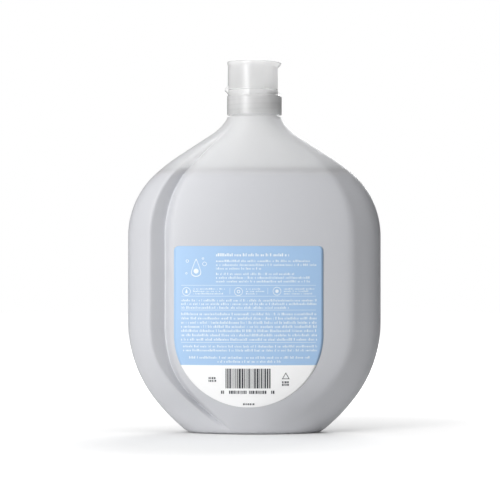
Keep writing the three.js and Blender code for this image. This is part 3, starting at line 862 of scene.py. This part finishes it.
def white_shapes():
    """Rules, dividers, ringed marks, and the big drop with its dot and bubbles."""
    shapes = [strip((on_label(left, py), on_label(right, py)), (0, RULE_WIDTH), 40)
              for left, right, py in RULES]
    shapes += [strip((on_label(px, low), on_label(px, high)), (RULE_WIDTH, 0), 2)
               for px, high, low in DIVIDERS]
    for place, (shape, outer, inner) in zip(RINGS, MARKS):
        shapes.append(outline_ring(on_label(*place), *RING_RADII, circle))
        shapes.append(outline_ring(on_label(*place), outer, inner, shape))
    x, z = on_label(*BIG_DROP)
    shapes.append(outline_ring((x, z - 1), *BIG_DROP_RADII, drop))
    shapes.append(outline_ring((x, z - 2), BIG_DOT_RADIUS, 0.0, circle))
    for dx, dz, radius in BUBBLES:
        shapes.append(outline_ring((x + dx, z + dz), radius, radius - BUBBLE_WALL, circle, 20))
    return gathered("white_shapes", shapes)


def dark_shapes():
    return gathered("dark_shapes", [outline_ring(on_label(*TRIANGLE), *TRIANGLE_RADII, triangle)])


def joined(pieces, name):
    """Pieces of print joined into one mesh, laid down on the label."""
    form = bmesh.new()
    for piece in pieces:
        form.from_mesh(piece.data)
    for piece in pieces:
        bpy.data.objects.remove(piece)
    bmesh.ops.remove_doubles(form, verts=form.verts, dist=WELD)
    mesh = bpy.data.meshes.new(name)
    form.to_mesh(mesh)
    form.free()
    lay_on_label(mesh, LABEL_LIFT + LABEL_FILM + INK_LIFT)
    return shown(name, mesh)


def make_print(ink_white, ink_dark):
    tree = letter_tree()
    small = {"Letters": 260, "Cells upright": 2, "Letter width": 0.42 * MM, "Letter gap": 0.36 * MM,
             "Narrowest": 0.4, "Widest": 1.5, "Share short": 0.7, "Lowest": 0.66,
             "Word gap": 0.8 * MM, "Word end": 0.17, "Seed": 3, "Ink": ink_white}
    heading = {**small, "Letter width": 0.7 * MM, "Letter gap": 0.32 * MM, "Seed": 5}
    digits = {**small, "Letter width": 0.8 * MM, "Lowest": 1.0, "Word end": 0.0, "Seed": 11,
              "Ink": ink_dark}
    bars = {**digits, "Letter width": 0.36 * MM, "Letter gap": 0.42 * MM, "Widest": 4.2,
            "Cells upright": 24, "Seed": 17}
    white = [letter_rows("small_rows", SMALL_ROWS, tree, small),
             letter_rows("heading_rows", HEADING_ROWS, tree, heading), white_shapes()]
    dark = [letter_rows("digit_rows", DARK_ROWS, tree, digits),
            letter_rows("barcode_rows", BARCODE_ROWS, tree, bars), dark_shapes()]
    return joined(white, "label_print_white"), joined(dark, "label_print_dark")


# Screw threads, on the neck and inside the skirt

def thread_tree():
    """A bead wound up a cylinder."""
    tree, given = new_tree("thread", {
        "Rows": "Geometry", "Turns": "Float", "Radius": "Float", "Rise": "Float", "Round": "Float",
        "Start": "Float", "Ink": "Material"})
    spiral = add_node(tree, "GeometryNodeCurveSpiral", {"Resolution": 72}, {
        "Rotations": given["Turns"], "Start Radius": given["Radius"], "End Radius": given["Radius"],
        "Height": given["Rise"]})
    profile = add_node(tree, "GeometryNodeCurvePrimitiveCircle", {"Resolution": 10},
                       {"Radius": given["Round"]})
    swept = add_node(tree, "GeometryNodeCurveToMesh", {"Fill Caps": True},
                     {"Curve": spiral.outputs[0], "Profile Curve": profile.outputs[0]})
    lift = add_node(tree, "ShaderNodeCombineXYZ", links={"Z": given["Start"]})
    raised = add_node(tree, "GeometryNodeTransform", links={
        "Geometry": swept.outputs[0], "Translation": lift.outputs[0]})
    end_tree(tree, raised.outputs[0], given["Ink"])
    return tree


def make_thread(name, tree, radius, start, material):
    values = {"Turns": THREAD_TURNS, "Radius": radius * MM, "Rise": THREAD_PITCH * THREAD_TURNS * MM,
              "Round": THREAD_ROUND * MM, "Start": start * MM, "Ink": material}
    thread = grown(new_piece(name, [(0, 0, 0)], []), tree, values, name)
    thread.data.shade_smooth()
    return thread


# Materials

def linear(hex_colour):
    """An sRGB hex colour as the linear values that shaders take."""
    channels = (int(hex_colour[i:i + 2], 16) / 255 for i in (1, 3, 5))
    return (*(c / 12.92 if c <= 0.04045 else ((c + 0.055) / 1.055) ** 2.4 for c in channels), 1)


def new_material(name, values):
    material = bpy.data.materials.new(name)
    material.use_nodes = True
    shader = material.node_tree.nodes["Principled BSDF"]
    for key, value in values.items():
        shader.inputs[key].default_value = value
    return material, material.node_tree, shader


def object_space(tree):
    """The place on a piece, in metres from the part's origin, whole and by its parts."""
    place = add_node(tree, "ShaderNodeTexCoord").outputs["Object"]
    return place, add_node(tree, "ShaderNodeSeparateXYZ", links={0: place}).outputs


def rises(tree, value, low, high):
    """Goes smoothly from 0 to 1 as a value goes from low to high."""
    return add_node(tree, "ShaderNodeMapRange", {
        "interpolation_type": "SMOOTHSTEP", "From Min": low, "From Max": high}, {"Value": value}).outputs[0]


def mixed(tree, share, first, second):
    """A colour that goes from the first to the second."""
    return add_node(tree, "ShaderNodeMix", {"data_type": "RGBA", 6: linear(first), 7: linear(second)},
                    {0: share}).outputs[2]


def noise(tree, place, size, settings=None):
    """Noise whose grains have a size in millimetres."""
    return add_node(tree, "ShaderNodeTexNoise", {"Scale": 1 / (size * MM), **(settings or {})},
                    {"Vector": place}).outputs[0]


def add_bump(tree, height, depth, below=None):
    bump = add_node(tree, "ShaderNodeBump", {"Distance": depth * MM}, {"Height": height})
    if below:
        tree.links.new(below, bump.inputs["Normal"])
    return bump.outputs[0]


def add_relief(tree, shader, place, reliefs, below=None):
    """Adds noise relief: each has the size of its grains and its depth, both in millimetres."""
    for grain, depth in reliefs:
        below = add_bump(tree, noise(tree, place, grain, {"Detail": 2.0}), depth, below)
    tree.links.new(below, shader.inputs["Normal"])
    return below


def layered(tree, share, under, over):
    """One shader over another, by a share."""
    return add_node(tree, "ShaderNodeMixShader", links={0: share, 1: under, 2: over}).outputs[0]


def let_light_through(tree, shader, colour, share, normal, roughness, shine):
    """Mixes in the light that passes through a thin milky wall, under one glossy skin that
    shows from outside only."""
    shader.inputs["Specular IOR Level"].default_value = 0
    through = add_node(tree, "ShaderNodeBsdfTranslucent", links={"Color": colour}).outputs[0]
    skin = add_node(tree, "ShaderNodeBsdfGlossy", {"Roughness": roughness}, {"Normal": normal}).outputs[0]
    edge = add_node(tree, "ShaderNodeFresnel", {"IOR": WALL_IOR}, {"Normal": normal}).outputs[0]
    inside = add_node(tree, "ShaderNodeNewGeometry").outputs["Backfacing"]
    gloss = worked_out(tree, "MULTIPLY", edge, worked_out(tree, "SUBTRACT", 1, inside))
    gloss = worked_out(tree, "MULTIPLY", gloss, shine)
    both = layered(tree, gloss, layered(tree, share, shader.outputs[0], through), skin)
    tree.links.new(both, tree.nodes["Material Output"].inputs["Surface"])


def natural_polyethylene():
    """Natural blow-moulded polyethylene: a milky satin wall, cooler and darker where the
    soap stands behind it, with the fine grain and the faint waves of a blown skin."""
    material, tree, shader = new_material("natural_polyethylene_blown_satin", {
        "Roughness": 0.45, "IOR": WALL_IOR, "Subsurface Weight": 0.1,
        "Subsurface Radius": (1.0, 1.0, 1.0), "Subsurface Scale": 2.5 * MM})
    place, parts = object_space(tree)
    empty = rises(tree, parts["Z"], (FILL_HEIGHT - FILL_FADE[0]) * MM, (FILL_HEIGHT + FILL_FADE[1]) * MM)
    colour = mixed(tree, empty, "#CBCCD0", "#FBFBFB")
    tree.links.new(colour, shader.inputs["Base Color"])
    seam = rises(tree, worked_out(tree, "ABSOLUTE", parts["Y"]), SEAM_WIDTH * MM, 0)
    relief = add_relief(tree, shader, place, ((0.45, 0.006), (14, 0.12)),
                        add_bump(tree, seam, SEAM_HEIGHT))
    share = worked_out(tree, "MULTIPLY", empty, 0.75)
    let_light_through(tree, shader, colour, share, relief, roughness=0.45, shine=0.8)
    return material


def natural_polypropylene():
    """Natural injection-moulded polypropylene: smooth, glossier and clearer than the bottle,
    so that light glows through its thin walls. Round the skirt, the thread behind them shows as
    faint bands of painted shade: slightly darker, and letting less light through."""
    material, tree, shader = new_material("natural_polypropylene_moulded_gloss", {
        "Roughness": 0.28, "IOR": WALL_IOR})
    place, parts = object_space(tree)
    pitch = THREAD_PITCH * MM
    turn = worked_out(tree, "ARCTAN2", parts["Y"], parts["X"])
    wound = worked_out(tree, "MULTIPLY", turn, pitch / (2 * math.pi))
    climb = worked_out(tree, "SUBTRACT", parts["Z"], wound)
    wave = worked_out(tree, "SINE", worked_out(tree, "MULTIPLY", climb, 2 * math.pi / pitch))
    above = rises(tree, parts["Z"], THREAD_START * MM, (THREAD_START + 1) * MM)
    below = rises(tree, parts["Z"], (SKIRT_TOP - 1) * MM, (SKIRT_TOP - 3) * MM)
    within = worked_out(tree, "MULTIPLY", above, below)
    # Painted shade: bands along the thread's helix round the skirt are made slightly darker and let less
    # light through
    thread = worked_out(tree, "MULTIPLY", rises(tree, wave, 0.2, 0.9), within)
    colour = mixed(tree, thread, "#FEFEFE", "#FAFAFA")
    tree.links.new(colour, shader.inputs["Base Color"])
    relief = add_relief(tree, shader, place, ((0.3, 0.003), (6, 0.03)))
    share = add_node(tree, "ShaderNodeMapRange", {"To Min": 0.93, "To Max": 0.88}, {"Value": thread})
    let_light_through(tree, shader, colour, share.outputs[0], relief, roughness=0.24, shine=1)
    return material


def label_film():
    """Printed polypropylene label film: a smooth satin sheet, light blue down to a straight
    edge and bare white below it, with the fine orange peel of its varnish."""
    material, tree, shader = new_material("label_film_printed_satin", {"Roughness": 0.45, "IOR": 1.49})
    place, parts = object_space(tree)
    blue = worked_out(tree, "GREATER_THAN", parts["Z"], BLUE_BOTTOM * MM)
    tree.links.new(mixed(tree, blue, "#FCFCFC", "#A7C8EB"), shader.inputs["Base Color"])
    add_relief(tree, shader, place, ((0.5, 0.003),))
    return material


def ink(name, colour, worn):
    """Screen ink on the film: matt and very slightly uneven in how densely it lies."""
    material, tree, shader = new_material(name, {"Roughness": 0.55})
    place, _ = object_space(tree)
    tree.links.new(mixed(tree, noise(tree, place, 0.8), colour, worn), shader.inputs["Base Color"])
    return material


def hand_soap():
    """Clear liquid soap with a cool pearly cast, seen only as a shade through the wall."""
    material, tree, shader = new_material("hand_soap_pearly", {"Roughness": 0.08, "IOR": 1.36})
    place, _ = object_space(tree)
    swirl = noise(tree, place, 30, {"Distortion": 1.5})
    tree.links.new(mixed(tree, swirl, "#D5D9E0", "#DDE0E5"), shader.inputs["Base Color"])
    return material


# Camera, floor and light

# Level of the world's own light, and each softbox: its direction from the bottle in degrees
# round from the camera and up, its distance, width and height in metres, and its power
WORLD_LEVEL = 0.03
SOFTBOXES = {
    "key": (-36, 15, 1.4, 0.6, 0.9, 15.6),
    "high": (-50, 45, 1.4, 0.6, 0.6, 2.2),
    "top": (0, 82, 1.3, 0.9, 0.9, 7.0),
    "back": (165, 30, 1.5, 0.9, 0.9, 17.0),
}
AIM = Vector((0, 0, 0.11))
FLOOR_REACH = 3000
# The floor's own glow, near the bottle and far from it, and how far out each begins in metres
FLOOR_GLOW = {"From Min": 0.12, "From Max": 0.4, "To Min": 0.34, "To Max": 1.0}


def make_camera():
    camera = bpy.data.cameras.new("camera")
    camera.lens = LENS
    camera.sensor_width = SENSOR
    camera.clip_start = 0.05
    holder = shown("camera", camera)
    middle = FRAME_PIXELS / 2
    across, up = (middle - AXIS_PIXEL) * PIXEL, (FLOOR_PIXEL - middle) * PIXEL
    holder.location = Vector((across, -CAMERA_DISTANCE, up)) * MM
    holder.rotation_euler = (math.pi / 2, 0, 0)
    bpy.context.scene.camera = holder


def softbox(name, around, up, distance, width, height, power):
    lamp = bpy.data.lights.new(name, "AREA")
    lamp.shape = "RECTANGLE"
    lamp.size, lamp.size_y = width, height
    lamp.energy = power
    holder = shown(name, lamp)
    turn, rise = math.radians(around), math.radians(up)
    level = math.cos(rise)
    away = Vector((math.sin(turn) * level, -math.cos(turn) * level, math.sin(rise)))
    holder.location = AIM + away * distance
    holder.rotation_euler = away.to_track_quat("Z", "Y").to_euler()


def make_studio():
    """A plain white studio: the camera sees white, and the pieces are lit by the softboxes."""
    scene = bpy.context.scene
    scene.view_settings.view_transform = "Standard"
    world = bpy.data.worlds.new("studio")
    scene.world = world
    world.use_nodes = True
    tree = world.node_tree
    background = tree.nodes["Background"]
    background.inputs["Color"].default_value = linear("#FFFFFF")
    path = add_node(tree, "ShaderNodeLightPath")
    strength = add_node(tree, "ShaderNodeMix", {"data_type": "FLOAT", 2: WORLD_LEVEL, 3: 1.0},
                        {0: path.outputs["Is Camera Ray"]})
    tree.links.new(strength.outputs[0], background.inputs["Strength"])
    for name, sizes in SOFTBOXES.items():
        softbox(name, *sizes)


def make_floor():
    """Pale paper floor: near the bottle it keeps the shadow, and further out it goes to white.
    Its glow is darkened by ambient occlusion, a painted shade under the bottle's overhang.
    """
    corners = [(x * FLOOR_REACH, y * FLOOR_REACH, 0) for x, y in ((-1, -1), (1, -1), (1, 1), (-1, 1))]
    floor = new_piece("floor", corners, [(0, 1, 2, 3)])
    material, tree, shader = new_material("paper_floor_matt", {
        "Base Color": linear("#DADADA"), "Roughness": 0.9, "Specular IOR Level": 0.0})
    place = add_node(tree, "ShaderNodeTexCoord")
    away = add_node(tree, "ShaderNodeVectorMath", {"operation": "LENGTH"}, {0: place.outputs["Object"]})
    glow = add_node(tree, "ShaderNodeMapRange", {"interpolation_type": "SMOOTHSTEP", **FLOOR_GLOW},
                    {"Value": away.outputs["Value"]})
    # Painted shade: ambient occlusion darkens the floor's glow where the bottle overhangs it
    open_above = add_node(tree, "ShaderNodeAmbientOcclusion", {"samples": 8, "Distance": 0.1})
    glow_with_painted_shade = worked_out(tree, "MULTIPLY", glow.outputs[0], open_above.outputs["AO"])
    path = add_node(tree, "ShaderNodeLightPath")
    seen = worked_out(tree, "MULTIPLY", glow_with_painted_shade, path.outputs["Is Camera Ray"])
    shader.inputs["Emission Color"].default_value = linear("#FFFFFF")
    tree.links.new(seen, shader.inputs["Emission Strength"])
    floor.data.materials.append(material)


make_camera()
make_studio()
make_floor()

satin = natural_polyethylene()
closure_plastic = natural_polypropylene()
film = label_film()
soap = hand_soap()
ink_white = ink("white_screen_ink", "#F4F8FC", "#E6EFF8")
ink_dark = ink("grey_screen_ink", "#3A3C40", "#505257")

white_print, dark_print = make_print(ink_white, ink_dark)
threads = thread_tree()
neck_thread = make_thread("neck_thread", threads, NECK_RADIUS, THREAD_START, satin)
inside_skirt = SKIRT_RADIUS - SKIRT_WALL
half_pitch_up = THREAD_START + THREAD_PITCH / 2
skirt_thread = make_thread("skirt_thread", threads, inside_skirt, half_pitch_up, closure_plastic)

for piece, body, nodes, slot, material in (
    (make_bottle(), "filled_bottle", ("bottle",), "bottle_plastic", satin),
    (make_closure(), "closure", ("closure_base",), "closure_plastic", closure_plastic),
    (make_lid(), "lid", ("closure_lid",), "closure_plastic", closure_plastic),
    (make_label(), "filled_bottle", ("back_label",), "label_film", film),
    (white_print, "filled_bottle", (), "label_film", ink_white),
    (dark_print, "filled_bottle", (), "label_film", ink_dark),
    (neck_thread, "filled_bottle", (), "bottle_plastic", satin),
    (skirt_thread, "closure", (), "closure_plastic", closure_plastic),
    (make_hinge_film(), "closure", (), "closure_plastic", closure_plastic),
):
    piece.data.materials.clear()
    piece.data.materials.append(material)
    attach(piece, body)
    if nodes:
        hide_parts(*nodes)

for held in bpy.data.objects["liquid_soap"].material_slots:
    held.material = soap
